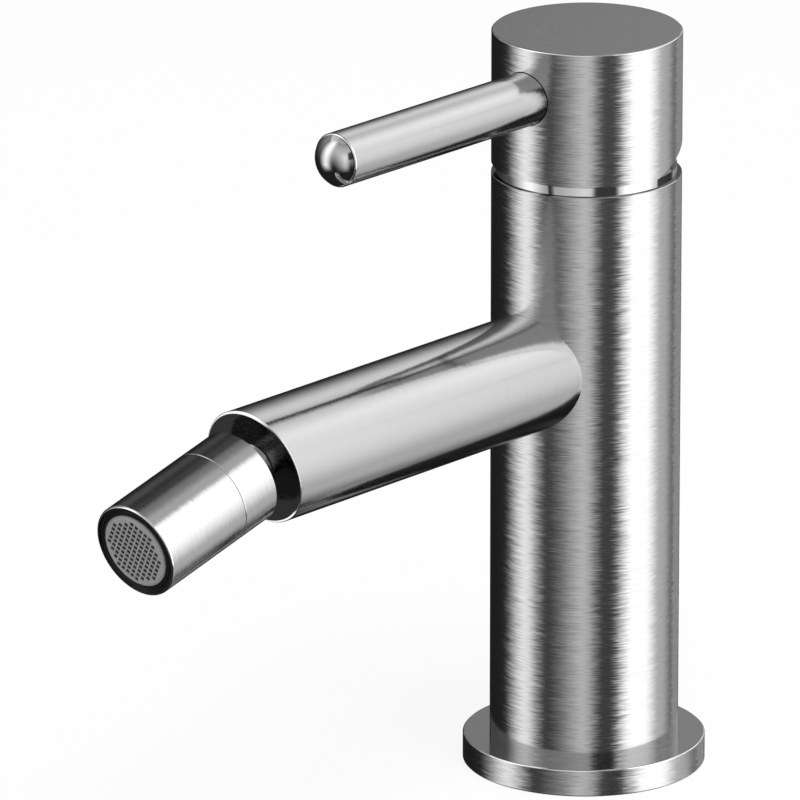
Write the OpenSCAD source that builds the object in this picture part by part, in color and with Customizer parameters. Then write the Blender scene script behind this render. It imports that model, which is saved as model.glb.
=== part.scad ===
// Deck-mounted single-lever bidet mixer in brushed stainless steel.
// Z points up, the deck is the plane z = 0, and the spout and lever point to -Y.
// All sizes are in millimetres.

/* [Body] */
// Diameter of the upright body, and of the handle cap above it
body_d = 42; // [41.6:0.1:46]
// Height of the body's top edge above the deck
body_h = 136.6; // [134:0.2:160]
// Depth of the cartridge chamber below the body's top edge
chamber_depth = 26.4; // [26:0.1:27.4]
// Diameter of the cartridge chamber
chamber_d = 35; // [34.8:0.05:35.2]
// Bore of the thread in the top of the body that takes the cartridge nut
nut_thread_d = 38; // [37.9:0.05:38.6]
// Length of that thread
nut_thread_len = 7.6; // [6.6:0.1:8]
// Bevel on the outer edges of the cap, the lever and the base flange
edge_bevel = 0.3; // [0.1:0.05:0.5]
// Bevel on the body's top edge
body_bevel = 0.1; // [0.05:0.05:0.3]

/* [Base flange] */
// Diameter of the flange that rests on the deck
flange_d = 54; // [51:0.5:64]
// Thickness of the flange
flange_t = 6.2; // [4:0.1:10]
// Diameter of the short spigot under the body that centres the flange
spigot_d = 37.6; // [36:0.1:38.6]
// Height of the spigot's end above the deck
spigot_lift = 0.6; // [0.2:0.1:2]
// Width of the rubber gasket let into the flange's underside
gasket_w = 3.8; // [2.5:0.1:4.4]
// Thickness of the gasket
gasket_t = 1.8; // [1:0.1:3]

/* [Water ways] */
// Distance of each inlet from the middle plane
inlet_x = 8; // [7.6:0.1:9]
// How far the inlets lie in front of the body's axis
inlet_front = 3.8; // [3:0.1:4.4]
// Bore of the inlet threads, for M10x1 hose ends
inlet_thread_d = 9; // [8.5:0.1:9.5]
// Length of the inlet threads
inlet_thread_len = 12; // [9:0.5:20]
// Bore of the two channels from the inlets to the cartridge
inlet_bore = 6; // [5:0.1:6.2]
// How far the cartridge's outlet lies behind the body's axis
outlet_back = 5.5; // [5:0.1:6]
// Bore of the channel from the cartridge's outlet to the spout
outlet_bore = 7.6; // [6:0.1:8]

/* [Spout] */
// Diameter of the spout
spout_d = 26.4; // [26:0.1:28]
// Height of the spout's axis above the deck
spout_z = 94.7; // [60:0.1:95]
// Distance from the body's axis to the middle of the spout's end face
spout_reach = 108.8; // [80:0.2:150]
// Wall of the spout's tube
spout_wall = 1.8; // [1.2:0.1:3]
// Downward tilt of the spout's end face and of the nozzle at rest
nozzle_tilt = 14.6; // [10:0.1:16]
// Rise of the nozzle's axis over the spout's axis at the end face
nozzle_rise = 0.3; // [0:0.05:0.4]
// Bevel round the spout's end face
rim_bevel = 0.2; // [0.1:0.05:0.5]

/* [Nozzle joint] */
// Diameter of the swivel ball
ball_d = 13; // [12.4:0.1:14]
// Depth of the ball's centre behind the spout's end face
ball_depth = 3.5; // [3.2:0.1:3.9]
// Diameter of the neck between the ball and the nozzle
neck_d = 7.8; // [7:0.1:8.4]
// Water bore through the ball and its neck
ball_bore = 4.6; // [3.6:0.1:5]
// Outside diameter of the threaded ring that holds the ball in the spout
socket_ring_d = 24; // [22:0.1:24.2]
// Largest tilt of the nozzle either way
tilt_limit = 15; // [8:1:16]
// Play between the ball and the rings that it turns in
ball_play = 0.12; // [0.08:0.01:0.2]

/* [Nozzle] */
// Outside diameter of the nozzle
nozzle_d = 21.6; // [21.2:0.1:24]
// Gap between the spout's end face and the nozzle's collar
nozzle_gap = 4.8; // [4.5:0.1:8]
// Length of the collar
collar_len = 10.1; // [9.4:0.1:14]
// Length of the nozzle, collar and sleeve together
nozzle_len = 34; // [33:0.1:40]
// Height of the rounding on the sleeve's front edge
lip_round = 0.35; // [0.2:0.05:0.5]
// Width of the black ring round the spray grid
black_ring_w = 1.8; // [1.5:0.1:2.4]
// How far the black ring lies behind the sleeve's front edge
black_ring_drop = 0.45; // [0.2:0.05:0.8]
// Thickness of the sleeve's lip round the black ring
lip_t = 0.5; // [0.4:0.05:0.8]
// Spacing of the square holes in the spray grid
grid_pitch = 1.3; // [1.1:0.05:2]
// Width of the bars between the holes
grid_bar = 0.36; // [0.3:0.02:0.6]
// Turn of the grid's bars about the nozzle's axis
grid_turn = -30; // [-45:1:45]
// Thickness of the spray grid
grid_t = 2.4; // [1:0.1:3]
// How far the grid's face stands out of the sleeve
grid_proud = 0.25; // [0:0.05:0.4]

/* [Handle] */
// Height of the handle cap
cap_h = 30.1; // [29:0.1:40]
// Gap between the body and the cap, where the cover ring shows
cap_gap = 2.3; // [2.2:0.1:4]
// Wall of the cap's skirt
cap_wall = 1.1; // [1:0.05:1.3]
// Thickness of the cap's top
cap_top_t = 4; // [3:0.1:4.4]
// Diameter of the lever
lever_d = 12; // [10:0.5:13]
// Height of the lever's axis above the cap's lower edge
lever_rise = 18.6; // [18:0.1:19]
// Distance from the body's axis to the tip of the lever
lever_reach = 85.8; // [60:0.2:140]
// Height of the rounded end of the lever
tip_dome_h = 3; // [2:0.1:4]
// Bevel on the lever's front edge, behind the rounded end
rod_bevel = 0.4; // [0.2:0.05:0.6]
// Angle through which the lever lifts to full flow
lift_angle = 21; // [12:1:21]

/* [Cartridge] */
// Diameter of the cartridge
cartridge_d = 34.6; // [34.4:0.05:34.7]
// Thickness of the cartridge's base plate
base_t = 3.5; // [3:0.1:3.6]
// Thickness of the fixed ceramic disc
fixed_disc_t = 3; // [2.5:0.1:3]
// Thickness of the moving ceramic disc
moving_disc_t = 3.5; // [3:0.1:3.5]
// Thickness of the plastic carrier on the moving disc
carrier_t = 4.4; // [4:0.1:4.4]
// Width of the square stem that carries the cap
stem_w = 8; // [7:0.1:8.4]
// Diameter of the pin that the stem tilts on
pin_d = 3; // [2.5:0.1:4]
// Outside diameter of the cover ring that shows in the gap
cover_ring_d = 39.8; // [39:0.1:39.9]

/* [Fixing kit] */
// Thickness of the deck that the kit is drawn for
deck_t = 15; // [5:1:30]
// Diameter of the fixing stud
stud_d = 7.9; // [7.5:0.1:8]
// Length of the stud below the deck's top
stud_drop = 50; // [45:1:90]
// How far the stud lies behind the body's axis
stud_back = 11; // [10.5:0.1:12]
// Diameter of the horseshoe washers
horseshoe_d = 48; // [42:0.5:56]
// Width of their slot for the hoses
hose_slot_w = 28; // [27:0.5:30]

/* [Hidden] */

$fn = 96;

// Small gaps shared by several pieces
cut = 0.1;             // how far a cutting shape runs past the face that it cuts
thread_play = 0.05;    // radial gap between a screw thread's two sides
slide_play = 0.15;     // gap beside a piece that slides or turns
touch_gap = 0.02;      // gap between two ground faces that slide on each other

// Body heights
body_r = body_d / 2;
floor_z = body_h - chamber_depth;
nut_z = body_h - nut_thread_len;
shoulder_drop = 2.9;            // from the body's top edge down to the cartridge's shoulder
shoulder_z = body_h - shoulder_drop;
cap_z = body_h + cap_gap;
cap_top = cap_z + cap_h;
lever_z = cap_z + lever_rise;

// Cartridge heights, from the chamber's floor upwards
cartridge_r = cartridge_d / 2;
fixed_disc_z = floor_z + base_t;
moving_disc_z = fixed_disc_z + fixed_disc_t + touch_gap;
carrier_z = moving_disc_z + moving_disc_t;
turret_lift = 0.3;              // gap between the carrier and the turret
turret_z = carrier_z + carrier_t + turret_lift;
housing_lid_t = 1.5;            // wall of the housing above the turret
lid_gap = 0.1;
turret_top = shoulder_z - housing_lid_t - lid_gap;
turret_neck_h = 2;              // height of the necks above the shoulder
housing_neck_h = 2.5;
turret_neck_top = shoulder_z + turret_neck_h;
housing_neck_top = shoulder_z + housing_neck_h;
pivot_drop = 3.5;               // from the shoulder down to the stem's pin
pivot_z = shoulder_z - pivot_drop;
tip_lift = 2.4;                 // height of the stem's ball end in the carrier
tip_z = carrier_z + tip_lift;
stem_reach = 4;                 // how far the stem passes the lever's axis
stem_top = lever_z + stem_reach;
housing_bore_r = cartridge_r - 2.15;
turret_neck_r = 12.2;
housing_neck_r = turret_neck_r + slide_play + 1.25;
ball_tip_d = 4.6;
pocket_w = ball_tip_d + 2 * slide_play;
base_step_t = base_t - 1.2;
peg_pos = [[-12.5, 7], [12.5, 7]];
peg_d = 3.6;
peg_len = 2.2;

// Ports in the cartridge, as [x, y] places with the bore of each
inlet_places = [[-inlet_x, -inlet_front], [inlet_x, -inlet_front]];
outlet_place = [0, outlet_back];
disc_inlet_d = 4.4;
disc_outlet_d = 5.6;
seal_w = 1.2;
seal_t = 1.4;
disc_seal_t = 0.9;
disc_gap = 1;                   // gap between the fixed disc and the housing
disc_travel = 2.6;              // room for the moving disc's slide
fixed_disc_r = housing_bore_r - disc_gap;
moving_disc_r = fixed_disc_r - disc_travel;

// Hollow in the moving disc, as a hole over each port joined by a straight-edged middle
hollow_t = 1.8;
hollow_r = 2.5;                 // radius over each inlet
hollow_shift = [1.8, 3.7];      // how far those circles lie inside the ports
hollow_waist = 2.4;             // half width at the outlet

// Rails on the carrier, which slide in the turret's underside
rail_w = 2.3;
rail_x = stem_w / 2 + 0.3 + rail_w / 2;
rail_h = 1.5;
rail_inset = 3;                 // from the disc's edge to the end of a rail
rail_len = 2 * (moving_disc_r - rail_inset);

// Neck of the cartridge nut, which carries the cover ring
nut_neck_r = 16.5;
nut_neck_h = 2.8;
nut_top = body_h + nut_neck_h;
ring_slope = 2.9;               // width of the cover ring's sloping edge
ring_slope_drop = 0.4;          // from the cap's lower edge down to that slope
cover_hole_r = stem_w / 2 + 5.6;

// Spout and nozzle
spout_r = spout_d / 2;
spout_bore_r = spout_r - spout_wall;
neck_way_r = inlet_x - inlet_bore / 2 - 1.2;
end_block = 18;
nozzle_r = nozzle_d / 2;
ball_r = ball_d / 2;
seat_r = ball_r + ball_play;
mouth_play = 0.45;             // gap left beside the neck at the nozzle's largest tilt
socket_mouth_r = ball_depth * tan(tilt_limit) + neck_d / 2 / cos(tilt_limit) + mouth_play;
slip_ring_r = ball_r - 0.75;
slip_ring_in_r = ball_bore / 2 + 1.9;
slip_ring_front = ball_depth + 0.57 * ball_r;
slip_ring_back = ball_depth + 0.85 * ball_r;
seal_ring_w = 1.8;
collar_back = nozzle_gap;
collar_front = collar_back + collar_len;
sleeve_back = collar_front + 0.1;
sleeve_front = nozzle_gap + nozzle_len;
collar_wall_len = 4.4;
seam_bevel = 0.12;
collar_cavity_r = nozzle_r - 1.5;
neck_end = collar_back + 7.2;
o_ring_w = 1.1;
sleeve_bore_r = nozzle_r - 3.3;
aerator_r = nozzle_r - lip_t - 0.4;
mouth_r = nozzle_r - lip_t;
mouth_depth = 1.5;
lip_round_w = lip_t - 0.05;    // width of the rounding on the lip
aerator_inset = 8;             // from the sleeve's back to the aerator
aerator_back = sleeve_back + aerator_inset;
gasket_gap = 0.05;
aerator_gasket_t = 1.9;
grid_r = mouth_r - thread_play - black_ring_w;
housing_front = sleeve_front - black_ring_drop;
housing_back = aerator_back + aerator_gasket_t + gasket_gap;
housing_shelf_t = 2;           // shelf in the housing that carries the flow plate
groove_r = grid_r + black_ring_w / 2;
groove_w = 0.3;
grid_front = sleeve_front + grid_proud;
grid_bevel = [0.6, 0.35];      // width and height of the bevel round the grid's face
grid_rim = 0.6;                // plain rim between the holes and the grid's edge

// Flow plate with two rings of jets, and the screens behind the grid
flow_plate_t = 1.5;
jet_r = 0.7;
outer_jets_inset = 2.6;        // from the plate's edge to each ring of jets
inner_jets_inset = 5.2;
screen_pitch = 2.3;            // from one screen's rim to the next
screen_rim_w = 0.9;
mesh_t = 0.4;
mesh_lift = 0.9;               // from a rim's back to its mesh

// Handle
lever_r = lever_d / 2;
lever_play = 0.15;
lever_seat = 3.5;              // how deep the lever's full diameter enters the cap
lever_thread_d = 8;
lever_thread_len = 7.5;
grub_d = 6;
grub_len = 5;
cavity_r = body_r - cap_wall;
stem_boss_r = stem_w / 2 * sqrt(2) + 2.3;
stem_boss_z = cap_z + 7;
lever_boss_r = lever_thread_d / 2 + 4.5;
tip_gap = 0.15;                // dark seam between the lever and its rounded end
rod_front = lever_reach - tip_dome_h - tip_gap;
tip_r = lever_r - rod_bevel;
tip_ball_r = (tip_r * tip_r + tip_dome_h * tip_dome_h) / (2 * tip_dome_h);
tip_pin_d = 5;
tip_pin_len = 5;

// Fixing kit
stud_grip = 13;                // length of the stud's thread in the body
rubber_t = 3;
plate_t = 2;
nut_t = 6.5;
nut_flats = 13;

steel = "silver";
polished_steel = "gainsboro";
brass = "goldenrod";
white_plastic = "ivory";
ceramic = "white";
rubber = "dimgray";
black_plastic = "black";
grid_plastic = "lightgray";

// Places its children in the nozzle's frame: the origin is the middle of the
// spout's end face, Z points out along the nozzle and Y points up.
module at_nozzle() {
    translate([0, -spout_reach, spout_z + nozzle_rise]) rotate([90 + nozzle_tilt, 0, 0]) children();
}

// A round bar about Z with both outer edges bevelled
module bevelled_bar(z0, z1, r, bevel_low, bevel_high) {
    rotate_extrude()
        polygon([
            [0, z0], [r - bevel_low, z0], [r, z0 + bevel_low],
            [r, z1 - bevel_high], [r - bevel_high, z1], [0, z1]
        ]);
}

// A flat ring about Z
module ring(z0, z1, r_in, r_out) {
    rotate_extrude() polygon([[r_in, z0], [r_out, z0], [r_out, z1], [r_in, z1]]);
}

// A round hole about Z, run past both of its ends
module hole(z0, z1, r) {
    translate([0, 0, z0 - cut]) cylinder(h = z1 - z0 + 2 * cut, r = r);
}

// Repeats its child at the two inlet ports
module at_inlets() {
    for (place = inlet_places) translate([place[0], place[1], 0]) children();
}

module at_outlet() {
    translate([outlet_place[0], outlet_place[1], 0]) children();
}

// The body and the spout are one welded and turned piece, with the water ways drilled in it.
module body() {
    color(steel) difference() {
        union() {
            bevelled_bar(flange_t, body_h, body_r, 0, body_bevel);
            translate([0, 0, spigot_lift]) cylinder(h = flange_t, d = spigot_d);
            spout_blank();
        }
        translate([0, 0, floor_z]) cylinder(h = chamber_depth + cut, d = chamber_d);
        translate([0, 0, nut_z]) cylinder(h = nut_thread_len + cut, d = nut_thread_d);
        water_ways();
        for (place = peg_pos)
            translate([place[0], place[1], floor_z - peg_len - 0.3])
                cylinder(h = peg_len + 0.3 + cut, d = peg_d + 0.2);
        translate([0, stud_back, 0]) hole(spigot_lift, spigot_lift + stud_grip + 1, stud_d / 2 + thread_play);
        at_nozzle() socket_bore();
    }
}

// The spout's outside: a level bar cut off square to the nozzle, with a bevelled rim
module spout_blank() {
    difference() {
        translate([0, 0, spout_z]) rotate([90, 0, 0]) cylinder(h = spout_reach + spout_r, r = spout_r);
        at_nozzle() translate([-spout_d, -spout_d, 0]) cube([2 * spout_d, 2 * spout_d, 2 * spout_d]);
        at_nozzle() translate([0, -nozzle_rise, 0]) rim_cutter();
    }
}

module rim_cutter() {
    rotate_extrude()
        polygon([
            [spout_r - rim_bevel, cut], [spout_r - rim_bevel, 0],
            [spout_r + 1, -rim_bevel - 1], [spout_r + 1, cut]
        ]);
}

module water_ways() {
    at_inlets() {
        hole(spigot_lift, spigot_lift + inlet_thread_len, inlet_thread_d / 2);
        hole(spigot_lift, floor_z, inlet_bore / 2);
    }
    at_outlet() translate([0, 0, spout_z]) cylinder(h = floor_z - spout_z + cut, d = outlet_bore);
    translate([0, outlet_back, spout_z]) rotate([90, 0, 0])
        cylinder(h = outlet_back + body_r + 2, r = neck_way_r);
    translate([0, -body_r - 1, spout_z]) rotate([90, 0, 0])
        cylinder(h = spout_reach - end_block - body_r - 1, r = spout_bore_r);
}

// The stepped bore in the spout's end that takes the ball joint, in the nozzle's frame
module socket_bore() {
    seal_back = slip_ring_back + seal_ring_w;
    hole(-ball_depth, 0, socket_ring_d / 2 + thread_play);
    translate([0, 0, -slip_ring_front]) cylinder(h = slip_ring_front, r = ball_r + 0.25);
    translate([0, 0, -slip_ring_back - 0.1]) cylinder(h = slip_ring_back, r = slip_ring_r + 0.1);
    translate([0, 0, -seal_back - 0.1]) cylinder(h = seal_back, r = slip_ring_r - 0.5);
    translate([0, 0, -end_block - spout_r / 2]) cylinder(h = end_block, r = ball_bore / 2 + 1.5);
}

// The loose ring that covers the joint with the deck
module base_flange() {
    gasket_r = spigot_d / 2 + 1.5;
    color(steel) difference() {
        bevelled_bar(0, flange_t, flange_d / 2, edge_bevel, edge_bevel);
        hole(0, flange_t, spigot_d / 2 + thread_play);
        translate([0, 0, -cut]) ring(0, gasket_t + cut, gasket_r - 0.1, gasket_r + gasket_w + 0.1);
    }
}

module base_gasket() {
    gasket_r = spigot_d / 2 + 1.5;
    color(rubber) ring(0, gasket_t, gasket_r, gasket_r + gasket_w);
}

// Fixing kit under the deck
module fixing_stud() {
    stud_top = spigot_lift + stud_grip;
    color(steel) translate([0, stud_back, -stud_drop])
        bevelled_bar(0, stud_top + stud_drop, stud_d / 2, 0.6, 0.6);
}

module horseshoe(thickness) {
    difference() {
        cylinder(h = thickness, d = horseshoe_d);
        translate([-hose_slot_w / 2, -horseshoe_d, -cut])
            cube([hose_slot_w, horseshoe_d + 2, thickness + 2 * cut]);
        translate([0, stud_back, 0]) hole(0, thickness, stud_d / 2 + 0.3);
    }
}

module horseshoe_rubber() {
    color(rubber) translate([0, 0, -deck_t - rubber_t]) horseshoe(rubber_t);
}

module horseshoe_plate() {
    color(steel) translate([0, 0, -deck_t - rubber_t - plate_t]) horseshoe(plate_t);
}

module fixing_nut() {
    color(steel) translate([0, stud_back, -deck_t - rubber_t - plate_t - nut_t]) difference() {
        cylinder(h = nut_t, d = nut_flats / cos(30), $fn = 6);
        hole(0, nut_t, stud_d / 2 + thread_play);
    }
}

// Cartridge, from the chamber's floor upwards
module cartridge_base() {
    color(white_plastic) difference() {
        union() {
            translate([0, 0, floor_z]) cylinder(h = base_step_t, r = cartridge_r);
            translate([0, 0, floor_z]) cylinder(h = base_t, r = housing_bore_r - slide_play);
            for (place = peg_pos)
                translate([place[0], place[1], floor_z - peg_len]) cylinder(h = peg_len + 1, d = peg_d);
        }
        at_inlets() port_cut(disc_inlet_d, inlet_bore);
        at_outlet() port_cut(disc_outlet_d, outlet_bore);
    }
}

// One port through the base plate, with a seat for its seal below and above
module port_cut(port_d, way_d) {
    hole(floor_z, floor_z + base_t, port_d / 2);
    translate([0, 0, floor_z - cut]) cylinder(h = seal_t + cut, r = way_d / 2 + seal_w + 0.05);
    translate([0, 0, floor_z + base_t - disc_seal_t])
        cylinder(h = disc_seal_t + cut, r = port_d / 2 + seal_w + 0.05);
}

module port_seals() {
    color(rubber) {
        at_inlets() ring(floor_z, floor_z + seal_t, inlet_bore / 2, inlet_bore / 2 + seal_w);
        at_outlet() ring(floor_z, floor_z + seal_t, outlet_bore / 2, outlet_bore / 2 + seal_w);
    }
}

module disc_seals() {
    z0 = floor_z + base_t - disc_seal_t;
    z1 = floor_z + base_t;
    color(rubber) {
        at_inlets() ring(z0, z1, disc_inlet_d / 2, disc_inlet_d / 2 + seal_w);
        at_outlet() ring(z0, z1, disc_outlet_d / 2, disc_outlet_d / 2 + seal_w);
    }
}

module fixed_disc() {
    color(ceramic) difference() {
        translate([0, 0, fixed_disc_z]) cylinder(h = fixed_disc_t, r = fixed_disc_r);
        at_inlets() hole(fixed_disc_z, fixed_disc_z + fixed_disc_t, disc_inlet_d / 2);
        at_outlet() hole(fixed_disc_z, fixed_disc_z + fixed_disc_t, disc_outlet_d / 2);
    }
}

// The moving disc has a heart-shaped hollow below, which joins the inlets to the outlet when it slides forward.
module moving_disc() {
    lobe = [inlet_x - hollow_shift[0], outlet_back - hollow_shift[1]];
    edge = hollow_r - 0.3;
    color(ceramic) difference() {
        translate([0, 0, moving_disc_z]) cylinder(h = moving_disc_t, r = moving_disc_r);
        translate([0, 0, moving_disc_z - cut]) linear_extrude(hollow_t + cut) {
            translate([0, outlet_back]) circle(disc_outlet_d / 2 + 0.4);
            for (side = [-1, 1]) translate([side * lobe[0], lobe[1]]) circle(hollow_r);
            polygon([
                [-lobe[0], lobe[1] - edge], [lobe[0], lobe[1] - edge], [lobe[0], lobe[1] + edge],
                [hollow_waist, outlet_back + 2], [-hollow_waist, outlet_back + 2],
                [-lobe[0], lobe[1] + edge]
            ]);
        }
    }
}

// The carrier is keyed to the moving disc, and its two rails slide in the turret's underside.
module disc_carrier() {
    color(white_plastic) difference() {
        union() {
            translate([0, 0, carrier_z]) cylinder(h = carrier_t, r = moving_disc_r);
            for (side = [-1, 1])
                translate([side * rail_x - rail_w / 2, -rail_len / 2, carrier_z + carrier_t - cut])
                    cube([rail_w, rail_len, rail_h + cut]);
        }
        translate([-pocket_w / 2, -pocket_w / 2, carrier_z - cut])
            cube([pocket_w, pocket_w, carrier_t + 2 * cut]);
    }
}

module cartridge_housing() {
    step_z = floor_z + base_step_t;
    color(white_plastic) difference() {
        union() {
            translate([0, 0, step_z]) cylinder(h = shoulder_z - step_z, r = cartridge_r);
            translate([0, 0, shoulder_z - 1]) cylinder(h = housing_neck_top - shoulder_z + 1, r = housing_neck_r);
        }
        translate([0, 0, step_z - cut]) cylinder(h = turret_top + lid_gap - step_z + cut, r = housing_bore_r);
        hole(step_z, housing_neck_top, turret_neck_r + slide_play);
    }
}

// The turret turns in the housing, holds the stem's pin and guides the carrier.
module swivel_turret() {
    slot_l = stem_w + 5.6;
    color(white_plastic) difference() {
        union() {
            translate([0, 0, turret_z]) cylinder(h = turret_top - turret_z, r = housing_bore_r - slide_play);
            translate([0, 0, turret_z]) cylinder(h = turret_neck_top - turret_z, r = turret_neck_r);
        }
        translate([-stem_w / 2 - slide_play, -slot_l / 2, turret_z - cut])
            cube([stem_w + 2 * slide_play, slot_l, turret_neck_top - turret_z + 2 * cut]);
        for (side = [-1, 1])
            translate([side * rail_x - rail_w / 2 - slide_play, -cartridge_r, turret_z - cut])
                cube([rail_w + 2 * slide_play, 2 * cartridge_r, rail_h + cut]);
        translate([-cartridge_r, 0, pivot_z]) rotate([0, 90, 0])
            cylinder(h = 2 * cartridge_r, r = pin_d / 2 + 0.01);
    }
}

module stem_pin() {
    pin_len = 2 * turret_neck_r + 3;
    color(steel) translate([-pin_len / 2, 0, pivot_z]) rotate([0, 90, 0]) cylinder(h = pin_len, d = pin_d);
}

// The stem tilts on its pin: the square end takes the cap and the ball end moves the discs.
module cartridge_stem() {
    arm_r = 1.5;
    color(brass) difference() {
        union() {
            translate([-stem_w / 2, -stem_w / 2, pivot_z]) cube([stem_w, stem_w, stem_top - pivot_z]);
            translate([-stem_w / 2, 0, pivot_z]) rotate([0, 90, 0]) cylinder(h = stem_w, d = stem_w);
            translate([0, 0, tip_z]) cylinder(h = pivot_z - tip_z, r = arm_r);
            translate([0, 0, tip_z]) sphere(d = ball_tip_d);
        }
        translate([-stem_w, 0, pivot_z]) rotate([0, 90, 0])
            cylinder(h = 2 * stem_w, r = pin_d / 2 + 0.04);
    }
}

// The nut clamps the cartridge by its shoulder and has four notches for a spanner.
module cartridge_nut() {
    nut_r = nut_thread_d / 2 - thread_play;
    color(brass) difference() {
        union() {
            translate([0, 0, nut_z + 0.2]) cylinder(h = body_h - nut_z - 0.4, r = nut_r);
            translate([0, 0, nut_z + 0.2]) cylinder(h = nut_top - nut_z - 0.2, r = nut_neck_r);
        }
        translate([0, 0, nut_z]) cylinder(h = shoulder_z - nut_z, r = cartridge_r + slide_play);
        hole(nut_z, nut_top, housing_neck_r + 0.3);
        for (turn = [0:90:270])
            rotate([0, 0, turn + 45]) translate([housing_neck_r - 1, -1.5, nut_top - 1.5])
                cube([nut_neck_r, 3, 1.5 + cut]);
    }
}

// The polished ring screwed on the nut's neck, of which a narrow band shows between body and cap
module cover_ring() {
    r = cover_ring_d / 2;
    straight = cap_gap - ring_slope_drop;
    in_r = nut_neck_r + thread_play;
    color(polished_steel) rotate_extrude()
        polygon([
            [in_r, body_h], [r, body_h], [r, body_h + straight],
            [r - ring_slope, body_h + straight + ring_slope],
            [cover_hole_r, body_h + straight + ring_slope],
            [cover_hole_r, nut_top + 0.1], [in_r, nut_top + 0.1]
        ]);
}

// Handle: a hollow cap on the stem, with bosses inside for the stem and the lever.
module handle_cap() {
    roof_z = cap_top - cap_top_t;
    color(steel) difference() {
        union() {
            difference() {
                bevelled_bar(cap_z, cap_top, body_r, 0, edge_bevel);
                translate([0, 0, cap_z - cut]) cylinder(h = roof_z - cap_z + cut, r = cavity_r);
            }
            translate([0, 0, stem_boss_z]) cylinder(h = roof_z - stem_boss_z + cut, r = stem_boss_r);
            intersection() {
                translate([0, 0, lever_z]) rotate([90, 0, 0]) cylinder(h = body_r, r = lever_boss_r);
                translate([0, 0, cap_z]) cylinder(h = cap_h - cap_top_t / 2, r = cavity_r + cap_wall / 2);
            }
        }
        translate([-stem_w / 2 - 0.05, -stem_w / 2 - 0.05, stem_boss_z - cut])
            cube([stem_w + 0.1, stem_w + 0.1, stem_top - stem_boss_z + 0.4 + cut]);
        lever_holes();
        rear_relief();
    }
}

// Hole for the lever's end, the thread behind it and the grub screw's thread
module lever_holes() {
    translate([0, 0, lever_z]) rotate([90, 0, 0]) {
        cylinder(h = body_r, d = grub_d + 2 * thread_play);
        translate([0, 0, body_r - lever_seat - lever_thread_len - 0.5])
            cylinder(h = body_r, d = lever_thread_d + 2 * thread_play);
        translate([0, 0, body_r - lever_seat]) cylinder(h = body_r, r = lever_r + lever_play);
    }
}

// The rear of the cap's edge slopes up, so that it comes level when the lever is lifted.
module rear_relief() {
    translate([-body_d, 0, cap_z]) rotate([lift_angle, 0, 0])
        translate([0, 0, -body_d]) cube([2 * body_d, 2 * body_d, body_d]);
}

module handle_grub_screw() {
    color(steel) translate([0, -stem_w / 2, lever_z]) rotate([90, 0, 0]) difference() {
        cylinder(h = grub_len, d = grub_d);
        translate([0, 0, grub_len - 2.5]) cylinder(h = 2.5 + cut, d = 3 / cos(30), $fn = 6);
    }
}

module lever_rod() {
    back = body_r - lever_seat;
    color(steel) translate([0, 0, lever_z]) rotate([90, 0, 0]) difference() {
        union() {
            bevelled_bar(back, rod_front, lever_r, 0, rod_bevel);
            translate([0, 0, back - lever_thread_len]) cylinder(h = lever_thread_len + 1, d = lever_thread_d);
        }
        translate([0, 0, rod_front - tip_pin_len - 1])
            cylinder(h = tip_pin_len + 1 + cut, d = tip_pin_d + 2 * thread_play);
    }
}

// Polished round end screwed into the lever: a shallow dome on a pin
module lever_tip() {
    color(polished_steel) translate([0, 0, lever_z]) rotate([90, 0, 0]) union() {
        intersection() {
            translate([0, 0, lever_reach - tip_ball_r]) sphere(r = tip_ball_r);
            translate([0, 0, rod_front + tip_gap]) cylinder(h = tip_dome_h, r = lever_r);
        }
        translate([0, 0, rod_front - tip_pin_len]) cylinder(h = tip_pin_len + tip_gap + cut, d = tip_pin_d);
    }
}

// Ball joint, in the nozzle's frame
module socket_ring() {
    color(polished_steel) at_nozzle() difference() {
        translate([0, 0, -ball_depth]) cylinder(h = ball_depth, d = socket_ring_d);
        translate([0, 0, -ball_depth]) sphere(r = seat_r);
        hole(-ball_depth, 0, socket_mouth_r);
    }
}

module ball_slip_ring() {
    color(white_plastic) at_nozzle() difference() {
        ring(-slip_ring_back, -slip_ring_front, slip_ring_in_r, slip_ring_r);
        translate([0, 0, -ball_depth]) sphere(r = seat_r);
    }
}

module ball_seal() {
    section_r = seal_ring_w / 2;
    color(rubber) at_nozzle() translate([0, 0, -slip_ring_back - section_r])
        rotate_extrude() translate([slip_ring_r - 0.6 - section_r, 0]) circle(section_r - 0.01);
}

module swivel_ball() {
    color(polished_steel) at_nozzle() difference() {
        union() {
            translate([0, 0, -ball_depth]) sphere(r = ball_r);
            translate([0, 0, -ball_depth]) cylinder(h = ball_depth + neck_end, d = neck_d);
        }
        hole(-ball_depth - ball_r, neck_end, ball_bore / 2);
    }
}

module nozzle_o_ring() {
    r = neck_d / 2 + o_ring_w / 2 + 0.05;
    color(rubber) at_nozzle() translate([0, 0, collar_back + collar_wall_len / 2])
        rotate_extrude() translate([r, 0]) circle(o_ring_w / 2);
}

module nozzle_collar() {
    mid = collar_back + collar_wall_len / 2;
    color(steel) at_nozzle() difference() {
        bevelled_bar(collar_back, collar_front, nozzle_r, edge_bevel, seam_bevel);
        hole(collar_back, collar_front, neck_d / 2 + thread_play);
        ring(mid - 0.65, mid + 0.65, neck_d / 2, neck_d / 2 + o_ring_w + 0.15);
        translate([0, 0, collar_back + collar_wall_len])
            cylinder(h = collar_len, r = collar_cavity_r);
    }
}

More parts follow.
